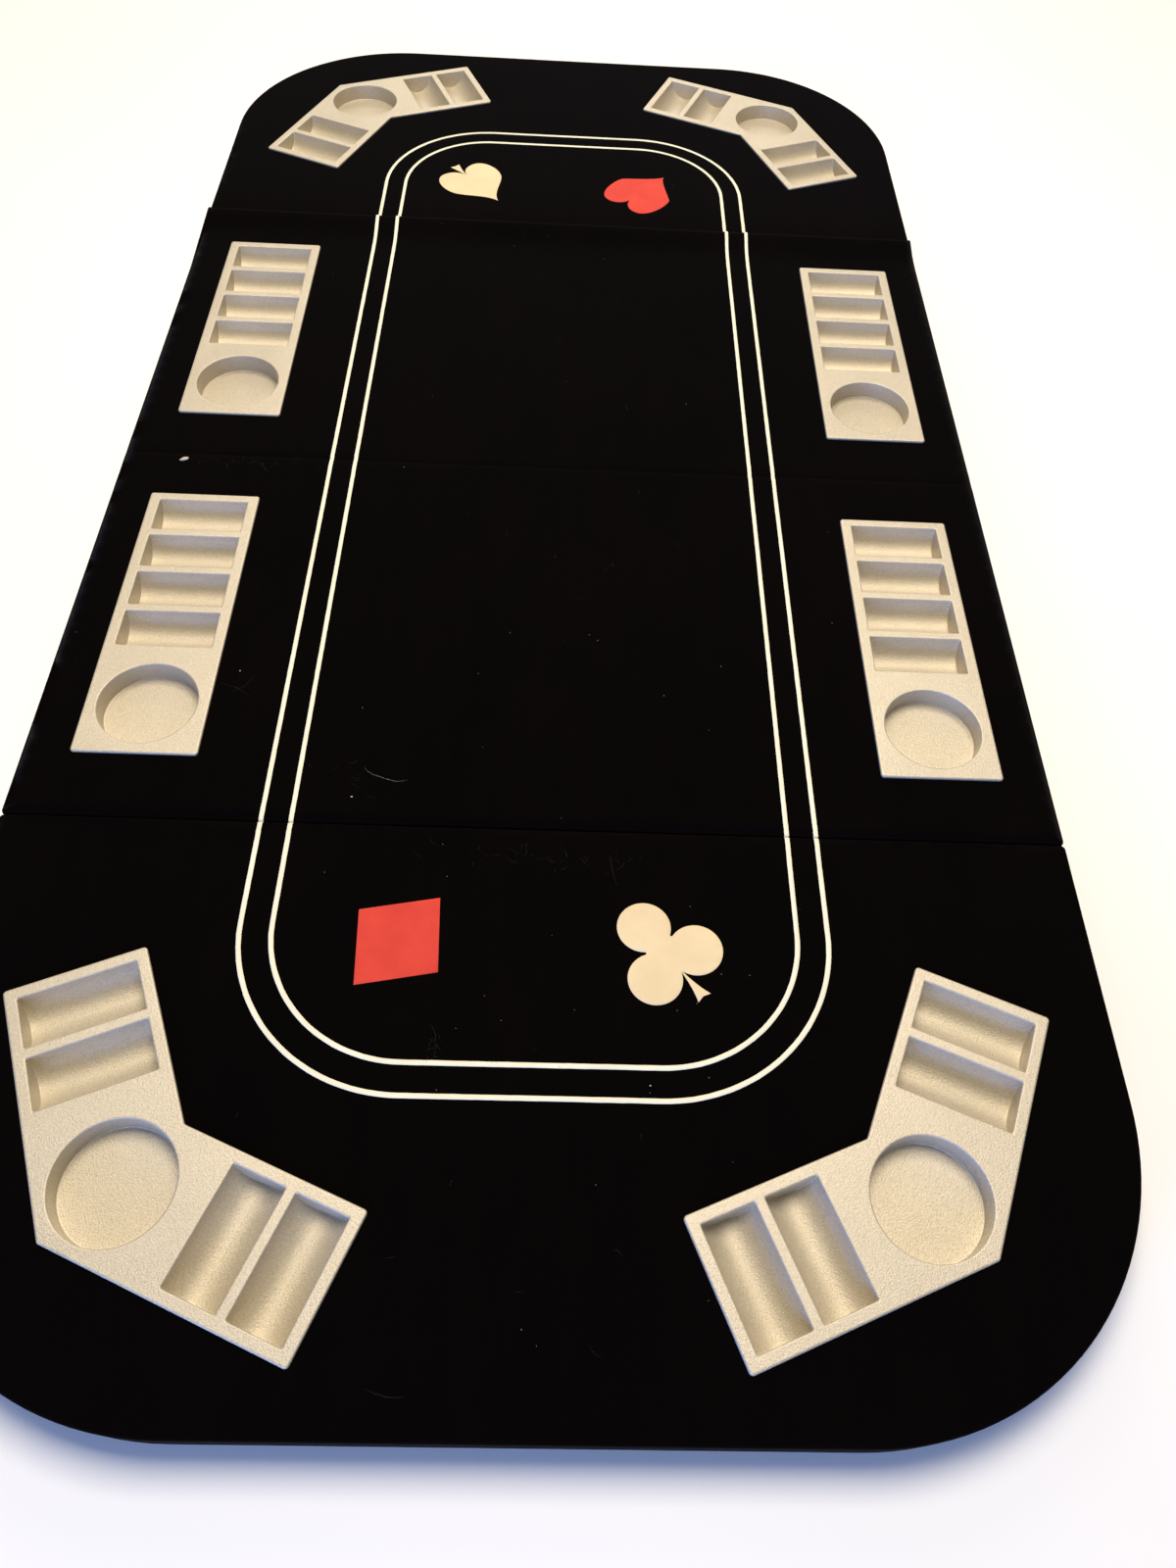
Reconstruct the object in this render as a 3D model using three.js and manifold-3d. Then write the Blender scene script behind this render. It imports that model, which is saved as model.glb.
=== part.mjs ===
// Folding poker table top: four felt-covered panels that fold in a zigzag.
// Millimetres, +Z up. The origin is the middle of the footprint, at the soles of the feet.
// The near end is at -Y. Each panel is a thin deck on a frame of rails, open underneath.
import * as THREE from 'three';
import { mergeVertices } from 'three/addons/utils/BufferGeometryUtils.js';
import Module from 'manifold-3d';

const wasm = await Module();
wasm.setup();

// Driving dimensions of the top
const TABLE_LENGTH = 1828.8;
const TABLE_WIDTH = 914.4;
const CORNER_RADIUS = 228.6;
const PANELS = 4;
const FOLD_GAP = 3;
const FIT_GAP = 0.3;

// Stack of layers, from the floor up
const FOOT_HEIGHT = 6;
const FRAME_DEPTH = 19.7;
const DECK_THICKNESS = 12;
const FELT_THICKNESS = 1.2;
const RIM_THICKNESS = 2.5;

// Frame and feet
const RAIL_WIDTH = 38;
const FOOT_RADIUS = 9;
const FOOT_SIDES = 16;
const ARC_SEGMENTS = 12;

// Chip slots and cup wells, moulded with a wall of one thickness
const SLOT_LENGTH = 90;
const SLOT_WIDTH = 43;
const SLOT_PITCH = 51;
const SLOT_MARGIN = 9.5;
const SLOT_SEGMENTS = 8;
const CUP_RADIUS = 45;
const CUP_DEPTH = 19.5;
const CUP_SIDES = 24;
const WALL = 1.8;
const CUTOUT_INSET = 7.2;

// Side trays of the middle panels
const SIDE_TRAY_WIDTH = 111.5;
const SIDE_TRAY_LENGTH = 328;
const SIDE_TRAY_X = 360.5;
const SIDE_TRAY_SLOTS = 4;
const SIDE_CUP_OFFSET = 108.4;

// Corner trays of the end panels: two arms that meet at the cup
const ARM_WIDTH = 109;
const ARM_REACH = 173.6;
const ARM_HALF_ANGLE = THREE.MathUtils.degToRad(67.5);
const ARM_SLOTS = 2;
const CORNER_TRAY_X = 291.7;
const CORNER_TRAY_Y = 758.5;

// Butt hinges of the two outer folds
const HINGE_X = 290;
const HINGE_LENGTH = 90;
const KNUCKLES = 5;
const KNUCKLE_GAP = 0.4;
const LEAF_WIDTH = 26;
const LEAF_THICKNESS = 1.2;
const LEAF_CLEARANCE = 0.5;
const BARREL_RADIUS = 2.4;
const PIN_RADIUS = 1.2;
const BARREL_SIDES = 12;

// Cloth tape that hinges the middle fold, let into the two decks
const TAPE_LENGTH = 880;
const TAPE_WIDTH = 28;
const TAPE_THICKNESS = 0.5;
const REBATE_DEPTH = 1;

// Levels worked out from the stack
const PANEL_LENGTH = TABLE_LENGTH / PANELS;
const HALF_WIDTH = TABLE_WIDTH / 2;
const HALF_LENGTH = TABLE_LENGTH / 2;
const RAIL_BOTTOM = FOOT_HEIGHT + FIT_GAP;
const RAIL_TOP = RAIL_BOTTOM + FRAME_DEPTH;
const DECK_BOTTOM = RAIL_TOP + FIT_GAP;
const DECK_TOP = DECK_BOTTOM + DECK_THICKNESS;
const FELT_BOTTOM = DECK_TOP + FIT_GAP;
const FELT_TOP = FELT_BOTTOM + FELT_THICKNESS;
const RIM_BOTTOM = FELT_TOP + FIT_GAP;
const RIM_TOP = RIM_BOTTOM + RIM_THICKNESS;
const HINGE_AXIS_Z = FOOT_HEIGHT / 2;

const finishes = {
  deck: new THREE.MeshStandardMaterial({ color: 0xa98a5f, roughness: 0.85, metalness: 0 }),
  frame: new THREE.MeshStandardMaterial({ color: 0x1b1a19, roughness: 0.6, metalness: 0 }),
  felt: new THREE.MeshStandardMaterial({ color: 0x0b0908, roughness: 1, metalness: 0 }),
  tray: new THREE.MeshStandardMaterial({ color: 0xdccfb4, roughness: 0.42, metalness: 0.35 }),
  hinge: new THREE.MeshStandardMaterial({ color: 0xb9bbbd, roughness: 0.35, metalness: 1 }),
  rubber: new THREE.MeshStandardMaterial({ color: 0x161616, roughness: 0.9, metalness: 0 }),
  tape: new THREE.MeshStandardMaterial({ color: 0x1d1b1a, roughness: 0.95, metalness: 0 }),
};

const tableTop = new THREE.Group();

function addPiece(name, geometry, finish, parent = tableTop) {
  const mesh = new THREE.Mesh(geometry, finishes[finish]);
  mesh.name = name;
  parent.add(mesh);
  return mesh;
}

// Boolean helpers
function toSolid(geometry) {
  const bare = geometry.clone();
  bare.deleteAttribute('normal');
  bare.deleteAttribute('uv');
  const merged = mergeVertices(bare, 1e-4);
  const vertProperties = merged.attributes.position.array;
  const triVerts = Uint32Array.from(merged.index.array);
  return new wasm.Manifold(new wasm.Mesh({ numProp: 3, vertProperties, triVerts }));
}

function toGeometry(solid) {
  const mesh = solid.getMesh();
  const geometry = new THREE.BufferGeometry();
  geometry.setAttribute('position', new THREE.BufferAttribute(mesh.vertProperties, 3));
  geometry.setIndex(new THREE.BufferAttribute(mesh.triVerts, 1));
  geometry.computeVertexNormals();
  return geometry;
}

// A flat plate with the plan outline of a shape, between two heights
function plate(shape, bottom, top) {
  const options = { depth: top - bottom, bevelEnabled: false, curveSegments: ARC_SEGMENTS };
  return new THREE.ExtrudeGeometry(shape, options).translate(0, 0, bottom);
}

function polygon(points) {
  return new THREE.Shape(points.map(([x, y]) => new THREE.Vector2(x, y)));
}

function box(x0, x1, y0, y1) {
  return polygon([[x0, y0], [x1, y0], [x1, y1], [x0, y1]]);
}

// Tray outlines in plan. An inset gives the hole that the tray drops through.
function sideTrayOutline(inset = 0) {
  const x = SIDE_TRAY_WIDTH / 2 - inset;
  const y = SIDE_TRAY_LENGTH / 2 - inset;
  return [[-x, -y], [x, -y], [x, y], [-x, y]];
}

// Chevron about the cup, opening towards +Y: each arm leaves it at the half angle from +Y
function cornerTrayOutline(inset = 0) {
  const half = ARM_WIDTH / 2 - inset;
  const reach = ARM_REACH - inset;
  const elbow = half / Math.sin(ARM_HALF_ANGLE);
  const along = [Math.sin(ARM_HALF_ANGLE), Math.cos(ARM_HALF_ANGLE)];
  const outer = [along[0] * reach + along[1] * half, along[1] * reach - along[0] * half];
  const inner = [along[0] * reach - along[1] * half, along[1] * reach + along[0] * half];
  return [
    [0, -elbow],
    outer,
    inner,
    [0, elbow],
    [-inner[0], inner[1]],
    [-outer[0], outer[1]],
  ];
}

function placed(points, x, y, turn) {
  return points.map(([px, py]) => [
    x + px * Math.cos(turn) - py * Math.sin(turn),
    y + px * Math.sin(turn) + py * Math.cos(turn),
  ]);
}

// Half-round section with its flat side up; a lift carries that side above the centre
function halfRound(radius, lift) {
  const points = [];
  for (let i = 0; i <= SLOT_SEGMENTS; i += 1) {
    const angle = Math.PI * (1 + i / SLOT_SEGMENTS);
    points.push([radius * Math.cos(angle), radius * Math.sin(angle)]);
  }
  return polygon(lift > 0 ? [...points, [radius, lift], [-radius, lift]] : points);
}

// A well is a slot or a cup: its outside is grown by the wall, its inside is lifted past the rim
function slotWell(x, y, turn, grow, lift) {
  const length = SLOT_LENGTH + 2 * grow;
  const options = { depth: length, bevelEnabled: false };
  const trough = new THREE.ExtrudeGeometry(halfRound(SLOT_WIDTH / 2 + grow, lift), options);
  trough.translate(0, 0, -length / 2).rotateX(Math.PI / 2).rotateZ(Math.PI / 2 + turn);
  return toSolid(trough.translate(x, y, RIM_TOP));
}

function cupWell(x, y, grow, lift) {
  const height = CUP_DEPTH + grow + lift;
  const radius = CUP_RADIUS + grow;
  const cup = new THREE.CylinderGeometry(radius, radius, height, CUP_SIDES).rotateX(Math.PI / 2);
  return toSolid(cup.translate(x, y, RIM_TOP + lift - height / 2));
}

// A tray is one moulding: a flat rim with the wells hanging below it
function trayGeometry(outline, slots, cup) {
  const cutLift = 1;
  let solid = toSolid(plate(polygon(outline), RIM_BOTTOM, RIM_TOP));
  slots.forEach(([x, y, turn]) => {
    solid = solid.add(slotWell(x, y, turn, WALL, 0));
  });
  solid = solid.add(cupWell(cup[0], cup[1], WALL, -RIM_THICKNESS / 2));
  slots.forEach(([x, y, turn]) => {
    solid = solid.subtract(slotWell(x, y, turn, 0, cutLift));
  });
  return toGeometry(solid.subtract(cupWell(cup[0], cup[1], 0, cutLift)));
}

function sideTrayGeometry() {
  const first = SIDE_TRAY_LENGTH / 2 - SLOT_MARGIN - SLOT_WIDTH / 2;
  const slots = Array.from({ length: SIDE_TRAY_SLOTS }, (_, i) => [0, first - i * SLOT_PITCH, 0]);
  return trayGeometry(sideTrayOutline(), slots, [0, -SIDE_CUP_OFFSET]);
}

function cornerTrayGeometry() {
  const first = ARM_REACH - SLOT_MARGIN - SLOT_WIDTH / 2;
  const slots = [];
  [-1, 1].forEach((side) => {
    const turn = -side * ARM_HALF_ANGLE;
    for (let i = 0; i < ARM_SLOTS; i += 1) {
      const reach = first - i * SLOT_PITCH;
      slots.push([-reach * Math.sin(turn), reach * Math.cos(turn), turn]);
    }
  });
  return trayGeometry(cornerTrayOutline(), slots, [0, 0]);
}

// Panel outlines for the near half; the far half is the same, turned half way round
function middlePanelShape() {
  return box(-HALF_WIDTH, HALF_WIDTH, -PANEL_LENGTH + FOLD_GAP / 2, -FOLD_GAP / 2);
}

function endPanelShape() {
  const centreX = HALF_WIDTH - CORNER_RADIUS;
  const centreY = -HALF_LENGTH + CORNER_RADIUS;
  const foldY = -PANEL_LENGTH - FOLD_GAP / 2;
  const shape = new THREE.Shape();
  shape.moveTo(HALF_WIDTH, foldY);
  shape.lineTo(-HALF_WIDTH, foldY);
  shape.absarc(-centreX, centreY, CORNER_RADIUS, Math.PI, 1.5 * Math.PI, false);
  shape.absarc(centreX, centreY, CORNER_RADIUS, 1.5 * Math.PI, 2 * Math.PI, false);
  return shape;
}

// A plate with a hole cut right through it for each tray
function platedAround(shape, holes, bottom, top) {
  return holes.reduce(
    (solid, points) => solid.subtract(toSolid(plate(polygon(points), bottom - 1, top + 1))),
    toSolid(plate(shape, bottom, top)),
  );
}

function middleTrayHoles() {
  const outline = sideTrayOutline(CUTOUT_INSET);
  return [-1, 1].map((side) => placed(outline, side * SIDE_TRAY_X, -PANEL_LENGTH / 2, 0));
}

function endTrayHoles() {
  const outline = cornerTrayOutline(CUTOUT_INSET);
  return [-1, 1].map((side) => placed(outline, side * CORNER_TRAY_X, -CORNER_TRAY_Y, side * Math.PI / 4));
}

// Side rail and quarter-round corner of an end panel, cut as one piece; side is -1 or 1
function cornerRailShape(side) {
  const centreX = side * (HALF_WIDTH - CORNER_RADIUS);
  const centreY = -HALF_LENGTH + CORNER_RADIUS;
  const foldY = -PANEL_LENGTH - FOLD_GAP / 2;
  const startAngle = side > 0 ? 0 : Math.PI;
  const endAngle = 1.5 * Math.PI;
  const inward = side > 0;
  const shape = new THREE.Shape();
  shape.moveTo(side * (HALF_WIDTH - RAIL_WIDTH), foldY);
  shape.lineTo(side * HALF_WIDTH, foldY);
  shape.absarc(centreX, centreY, CORNER_RADIUS, startAngle, endAngle, inward);
  shape.absarc(centreX, centreY, CORNER_RADIUS - RAIL_WIDTH, endAngle, startAngle, !inward);
  return shape;
}

// One leaf of a butt hinge, on the +Y side of the pin, with every second knuckle
function leafGeometry(firstKnuckle) {
  const pitch = HINGE_LENGTH / KNUCKLES;
  const rootY = BARREL_RADIUS + LEAF_CLEARANCE;
  const leafTop = FOOT_HEIGHT;
  const leafBottom = leafTop - LEAF_THICKNESS;
  let leaf = toSolid(plate(box(-HINGE_LENGTH / 2, HINGE_LENGTH / 2, rootY, LEAF_WIDTH), leafBottom, leafTop));
  for (let i = firstKnuckle; i < KNUCKLES; i += 2) {
    const x0 = -HINGE_LENGTH / 2 + i * pitch + KNUCKLE_GAP / 2;
    const x1 = x0 + pitch - KNUCKLE_GAP;
    const tongue = toSolid(plate(box(x0, x1, 0, rootY + 1), leafBottom, leafTop));
    leaf = leaf.add(tongue).add(roller(BARREL_RADIUS, x0, x1));
  }
  const bore = roller(PIN_RADIUS + FIT_GAP, -HINGE_LENGTH, HINGE_LENGTH);
  return toGeometry(leaf.subtract(bore));
}

// A round bar along X on the hinge axis
function roller(radius, x0, x1) {
  const bar = new THREE.CylinderGeometry(radius, radius, x1 - x0, BARREL_SIDES);
  return toSolid(bar.rotateZ(Math.PI / 2).translate((x0 + x1) / 2, 0, HINGE_AXIS_Z));
}

function pinGeometry() {
  return toGeometry(roller(PIN_RADIUS, -HINGE_LENGTH / 2, HINGE_LENGTH / 2));
}

function footGeometry() {
  const foot = new THREE.CylinderGeometry(FOOT_RADIUS, FOOT_RADIUS, FOOT_HEIGHT, FOOT_SIDES);
  return foot.rotateX(Math.PI / 2).translate(0, 0, FOOT_HEIGHT / 2);
}

// Deck of a middle panel: the top edge at the middle fold is let in for the tape
function middleDeckGeometry() {
  const board = platedAround(middlePanelShape(), middleTrayHoles(), DECK_BOTTOM, DECK_TOP);
  const half = TAPE_LENGTH / 2 + FIT_GAP;
  const rebate = plate(box(-half, half, -TAPE_WIDTH - 1, 1), DECK_TOP - REBATE_DEPTH, DECK_TOP + 1);
  return toGeometry(board.subtract(toSolid(rebate)));
}

function addMiddlePanel(end, half) {
  const foldEdge = -FOLD_GAP / 2;
  const farEdge = -PANEL_LENGTH + FOLD_GAP / 2;
  const innerX = HALF_WIDTH - RAIL_WIDTH;
  addPiece(`${end}_middle_deck`, middleDeckGeometry(), 'deck', half);
  const felt = platedAround(middlePanelShape(), middleTrayHoles(), FELT_BOTTOM, FELT_TOP);
  addPiece(`${end}_middle_felt`, toGeometry(felt), 'felt', half);
  sidesOf(end).forEach(([side, name]) => {
    const shape = side > 0
      ? box(innerX, HALF_WIDTH, farEdge, foldEdge)
      : box(-HALF_WIDTH, -innerX, farEdge, foldEdge);
    addPiece(`${end}_middle_${name}_rail`, plate(shape, RAIL_BOTTOM, RAIL_TOP), 'frame', half);
  });
  const crossX = innerX - FIT_GAP;
  const innerRail = box(-crossX, crossX, foldEdge - RAIL_WIDTH, foldEdge);
  const outerRail = box(-crossX, crossX, farEdge, farEdge + RAIL_WIDTH);
  addPiece(`${end}_middle_inner_rail`, plate(innerRail, RAIL_BOTTOM, RAIL_TOP), 'frame', half);
  addPiece(`${end}_middle_outer_rail`, plate(outerRail, RAIL_BOTTOM, RAIL_TOP), 'frame', half);
  const tape = box(-TAPE_LENGTH / 2, TAPE_LENGTH / 2, -TAPE_WIDTH, foldEdge);
  const tapeBottom = DECK_TOP - REBATE_DEPTH + FIT_GAP;
  addPiece(`${end}_hinge_tape`, plate(tape, tapeBottom, tapeBottom + TAPE_THICKNESS), 'tape', half);
}

function addEndPanel(end, half) {
  const foldEdge = -PANEL_LENGTH - FOLD_GAP / 2;
  const innerX = HALF_WIDTH - RAIL_WIDTH;
  const straightX = HALF_WIDTH - CORNER_RADIUS;
  const deck = platedAround(endPanelShape(), endTrayHoles(), DECK_BOTTOM, DECK_TOP);
  addPiece(`${end}_end_deck`, toGeometry(deck), 'deck', half);
  const felt = platedAround(endPanelShape(), endTrayHoles(), FELT_BOTTOM, FELT_TOP);
  addPiece(`${end}_end_felt`, toGeometry(felt), 'felt', half);
  sidesOf(end).forEach(([side, name]) => {
    addPiece(`${end}_end_${name}_rail`, plate(cornerRailShape(side), RAIL_BOTTOM, RAIL_TOP), 'frame', half);
  });
  const crossX = innerX - FIT_GAP;
  const foldRail = box(-crossX, crossX, foldEdge - RAIL_WIDTH, foldEdge);
  addPiece(`${end}_end_fold_rail`, plate(foldRail, RAIL_BOTTOM, RAIL_TOP), 'frame', half);
  const endX = straightX - FIT_GAP;
  const endRail = box(-endX, endX, -HALF_LENGTH, -HALF_LENGTH + RAIL_WIDTH);
  addPiece(`${end}_end_cross_rail`, plate(endRail, RAIL_BOTTOM, RAIL_TOP), 'frame', half);
}

// Local side of each rail in a half, with its name in the whole top, where left is -X
function sidesOf(end) {
  return end === 'near' ? [[-1, 'left'], [1, 'right']] : [[1, 'left'], [-1, 'right']];
}

function addFeet(end, half) {
  const sideX = HALF_WIDTH - RAIL_WIDTH / 2;
  const inset = 60;
  const endX = 150;
  const spots = [
    ['middle_inner', sideX, -inset],
    ['middle_outer', sideX, -PANEL_LENGTH + inset],
    ['end', endX, -HALF_LENGTH + RAIL_WIDTH / 2],
  ];
  spots.forEach(([place, x, y]) => {
    sidesOf(end).forEach(([side, name]) => {
      const foot = addPiece(`${end}_${place}_${name}_foot`, footGeometry(), 'rubber', half);
      foot.position.set(side * x, y, 0);
    });
  });
}

function addHinges(end, half) {
  sidesOf(end).forEach(([side, name]) => {
    const place = new THREE.Group();
    place.position.set(side * HINGE_X, -PANEL_LENGTH, 0);
    half.add(place);
    addPiece(`${end}_${name}_hinge_middle_leaf`, leafGeometry(0), 'hinge', place);
    const leaf = addPiece(`${end}_${name}_hinge_end_leaf`, leafGeometry(1), 'hinge', place);
    leaf.rotation.z = Math.PI;
    addPiece(`${end}_${name}_hinge_pin`, pinGeometry(), 'hinge', place);
  });
}

function addTrays() {
  [['near', -1], ['far', 1]].forEach(([end, ySign]) => {
    [['left', -1], ['right', 1]].forEach(([name, xSign]) => {
      const side = addPiece(`${end}_${name}_side_tray`, sideTrayGeometry(), 'tray');
      side.position.set(xSign * SIDE_TRAY_X, ySign * PANEL_LENGTH / 2, 0);
      const corner = addPiece(`${end}_${name}_corner_tray`, cornerTrayGeometry(), 'tray');
      corner.position.set(xSign * CORNER_TRAY_X, ySign * CORNER_TRAY_Y, 0);
      corner.rotation.z = xSign * (ySign < 0 ? 1 : 3) * Math.PI / 4;
    });
  });
}

['near', 'far'].forEach((end) => {
  const half = new THREE.Group();
  half.rotation.z = end === 'near' ? 0 : Math.PI;
  tableTop.add(half);
  addMiddlePanel(end, half);
  addEndPanel(end, half);
  addFeet(end, half);
  addHinges(end, half);
});
addTrays();

export default tableTop;
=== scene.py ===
import math
import random
from itertools import groupby

import bmesh
import bpy
import numpy as np
from mathutils import Matrix, Vector, noise
from mathutils.geometry import delaunay_2d_cdt


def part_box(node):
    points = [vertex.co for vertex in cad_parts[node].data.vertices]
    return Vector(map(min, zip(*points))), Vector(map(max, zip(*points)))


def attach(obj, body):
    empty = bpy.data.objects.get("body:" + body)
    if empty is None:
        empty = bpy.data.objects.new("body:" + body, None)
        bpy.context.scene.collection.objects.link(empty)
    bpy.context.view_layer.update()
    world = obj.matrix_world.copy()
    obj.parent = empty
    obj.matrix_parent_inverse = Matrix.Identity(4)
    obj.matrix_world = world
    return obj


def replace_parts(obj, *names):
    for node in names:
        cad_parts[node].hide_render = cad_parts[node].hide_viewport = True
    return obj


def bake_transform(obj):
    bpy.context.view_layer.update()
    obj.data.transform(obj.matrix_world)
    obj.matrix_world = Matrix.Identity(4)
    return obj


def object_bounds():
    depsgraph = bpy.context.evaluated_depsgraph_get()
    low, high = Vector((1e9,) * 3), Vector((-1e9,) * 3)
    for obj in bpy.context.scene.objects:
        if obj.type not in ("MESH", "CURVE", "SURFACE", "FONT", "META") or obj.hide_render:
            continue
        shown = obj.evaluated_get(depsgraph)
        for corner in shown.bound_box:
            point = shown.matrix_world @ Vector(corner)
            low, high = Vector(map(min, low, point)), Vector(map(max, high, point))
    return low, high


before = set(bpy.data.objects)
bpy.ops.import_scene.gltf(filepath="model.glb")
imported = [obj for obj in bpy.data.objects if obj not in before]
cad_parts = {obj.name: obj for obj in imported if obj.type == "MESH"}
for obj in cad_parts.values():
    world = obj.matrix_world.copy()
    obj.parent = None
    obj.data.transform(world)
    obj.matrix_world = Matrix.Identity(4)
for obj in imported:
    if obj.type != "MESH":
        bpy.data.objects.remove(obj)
cad_low, cad_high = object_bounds()

MM = 0.001

# Levels and edges that the CAD frame fixes, in metres
FELT_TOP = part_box("near_middle_felt")[1].z
RIM_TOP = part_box("near_left_side_tray")[1].z
RIM_BOTTOM = FELT_TOP + 0.1 * MM
RAIL_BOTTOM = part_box("near_middle_left_rail")[0].z
HALF_WIDTH = cad_high.x
HALF_LENGTH = cad_high.y
NEAR_FOLD_Y = (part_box("near_middle_deck")[0].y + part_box("near_end_deck")[1].y) / 2
FAR_FOLD_Y = -NEAR_FOLD_Y
FOLD_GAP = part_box("near_middle_deck")[0].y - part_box("near_end_deck")[1].y

# Driving sizes of the moulded trays, the same as in the CAD source
SLOT_LENGTH = 90 * MM
SLOT_WIDTH = 43 * MM
SLOT_PITCH = 51 * MM
SLOT_MARGIN = 9.5 * MM
CUP_RADIUS = 45 * MM
CUP_DEPTH = 19.5 * MM
SIDE_TRAY_SIZE = (111.5 * MM, 328 * MM)
SIDE_TRAY_X = 360.5 * MM
SIDE_CUP_OFFSET = 108.4 * MM
ARM_WIDTH = 109 * MM
ARM_REACH = 173.6 * MM
ARM_HALF_ANGLE = math.radians(67.5)
CORNER_TRAY = (291.7 * MM, 758.5 * MM)
CUTOUT_INSET = 6 * MM
WELL_PLAY = 0.2 * MM
EDGE_ROUND = 1.2 * MM
RIM_ROUND = 1.5 * MM
EDGE_STEPS = 4
SUPPORT = 0.5 * MM
WALL = 1.6 * MM

# Cloth and print, and the round corners of the top
CORNER_RADIUS = 228.6 * MM
FELT_THICKNESS = 1.0 * MM
FELT_PROUD = 1.25 * MM
FELT_ROLL = 2.6 * MM
ROLL_STEPS = 5
FELT_GRID = 11 * MM
FELT_CORNER = 4 * MM
HEM_WIDTH = 9 * MM
HEM_Z = RAIL_BOTTOM - 1.1 * MM
PRINT_RAISE = 0.25 * MM
PRINT_FOOT = 0.02 * MM
STRIPE_WIDTH = 4.1 * MM
# Each stripe's name, half width, half length and corner radius
STRIPES = (("outer", 239 * MM, 691.7 * MM, 140 * MM), ("inner", 213.5 * MM, 666.2 * MM, 114.5 * MM))
SUIT_TURN = math.radians(38)
SLIT_HALF = 0.4 * MM
# Heights down a tuck and how far it narrows there, in millimetres
TUCK_PROFILE = ((36.8, 0.0), (28, 1), (18, 2.2), (7.4, 4))

ENDS = (("near", -1), ("far", 1))
LEAF_THICKNESS = 1.2 * MM
HEAD_SIDES = 20
FINE_WELD = 1e-7


# Mesh helpers

def new_piece(name, verts, faces, finish, body=None, smooth=True):
    """A mesh object in the row frame with its material, riding on a body if one is given."""
    material, slot = finish
    mesh = bpy.data.meshes.new(name)
    mesh.from_pydata([tuple(v) for v in verts], [], faces)
    mesh.validate()
    mesh.polygons.foreach_set("use_smooth", [smooth] * len(mesh.polygons))
    mesh.materials.append(material)
    piece = bpy.data.objects.new(name, mesh)
    bpy.context.scene.collection.objects.link(piece)
    if body:
        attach(piece, body)
    return piece


def rectangle(x, y):
    """Corners of a rectangle about the middle, counter-clockwise."""
    return [(-x, -y), (x, -y), (x, y), (-x, y)]


def circle(x, y, radius, count):
    """Points evenly round a circle."""
    angles = (2 * math.pi * k / count for k in range(count))
    return [(x + radius * math.cos(a), y + radius * math.sin(a)) for a in angles]


def quarter(steps, first=0):
    """A quarter round as (1 - sine, 1 - cosine) pairs, from 0 to 90 degrees."""
    angles = (math.pi / 2 * k / steps for k in range(first, steps + 1))
    return [(1 - math.sin(a), 1 - math.cos(a)) for a in angles]


def lathe(profile, sides, x, y):
    """Rings of points about a vertical axis, from (radius, height) pairs."""
    return [[Vector((*point, z)) for point in circle(x, y, r, sides)] for r, z in profile]


def placed(points, x, y, turn):
    """Points turned about the origin, then moved to a place."""
    return [Matrix.Rotation(turn, 2) @ Vector(p) + Vector((x, y)) for p in points]


def rounded_loop(corners, radii, step, arc_segments=6):
    """Points and outward normals round a polygon given counter-clockwise, its corners rounded."""
    points, normals = [], []
    count = len(corners)
    tangents = []
    for i in range(count):
        before, here, after = (Vector(corners[(i + k) % count]) for k in (-1, 0, 1))
        to_here, to_after = (here - before).normalized(), (after - here).normalized()
        turn = math.atan2(to_here.x * to_after.y - to_here.y * to_after.x, to_here.dot(to_after))
        setback = radii[i] * math.tan(abs(turn) / 2)
        tangents.append((here, to_here, to_after, turn, setback))
    for i, (here, to_here, to_after, turn, setback) in enumerate(tangents):
        side = 1 if turn > 0 else -1
        start = here - to_here * setback
        centre = start + Vector((-to_here.y, to_here.x)) * radii[i] * side
        segments = max(arc_segments, math.ceil(abs(turn) * radii[i] / step))
        for k in range(segments + 1):
            swing = Matrix.Rotation(turn * k / segments, 2)
            direction = swing @ to_here
            points.append(centre + swing @ (start - centre))
            normals.append(Vector((direction.y, -direction.x)))
        following = tangents[(i + 1) % count]
        end = following[0] - following[1] * following[4]
        last = here + to_after * setback
        pieces = max(1, math.ceil((end - last).length / step))
        for k in range(1, pieces):
            points.append(last.lerp(end, k / pieces))
            normals.append(Vector((to_after.y, -to_after.x)))
    return points, normals


def inside(points, polygon):
    """Boolean array: which points lie in a polygon, by crossing number."""
    xs, ys = points[:, 0], points[:, 1]
    result = np.zeros(len(points), bool)
    ring = np.array([tuple(p)[:2] for p in polygon])
    for (x0, y0), (x1, y1) in zip(ring, np.roll(ring, -1, 0)):
        if y0 == y1:
            continue
        crosses = (y0 > ys) != (y1 > ys)
        result ^= crosses & (xs < (x1 - x0) * (ys - y0) / (y1 - y0) + x0)
    return result


def between(points, outer, holes):
    """Boolean array: which points lie in the outer loop and in none of the holes."""
    keep = inside(points, outer)
    for hole in holes:
        keep &= ~inside(points, hole)
    return keep


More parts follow.
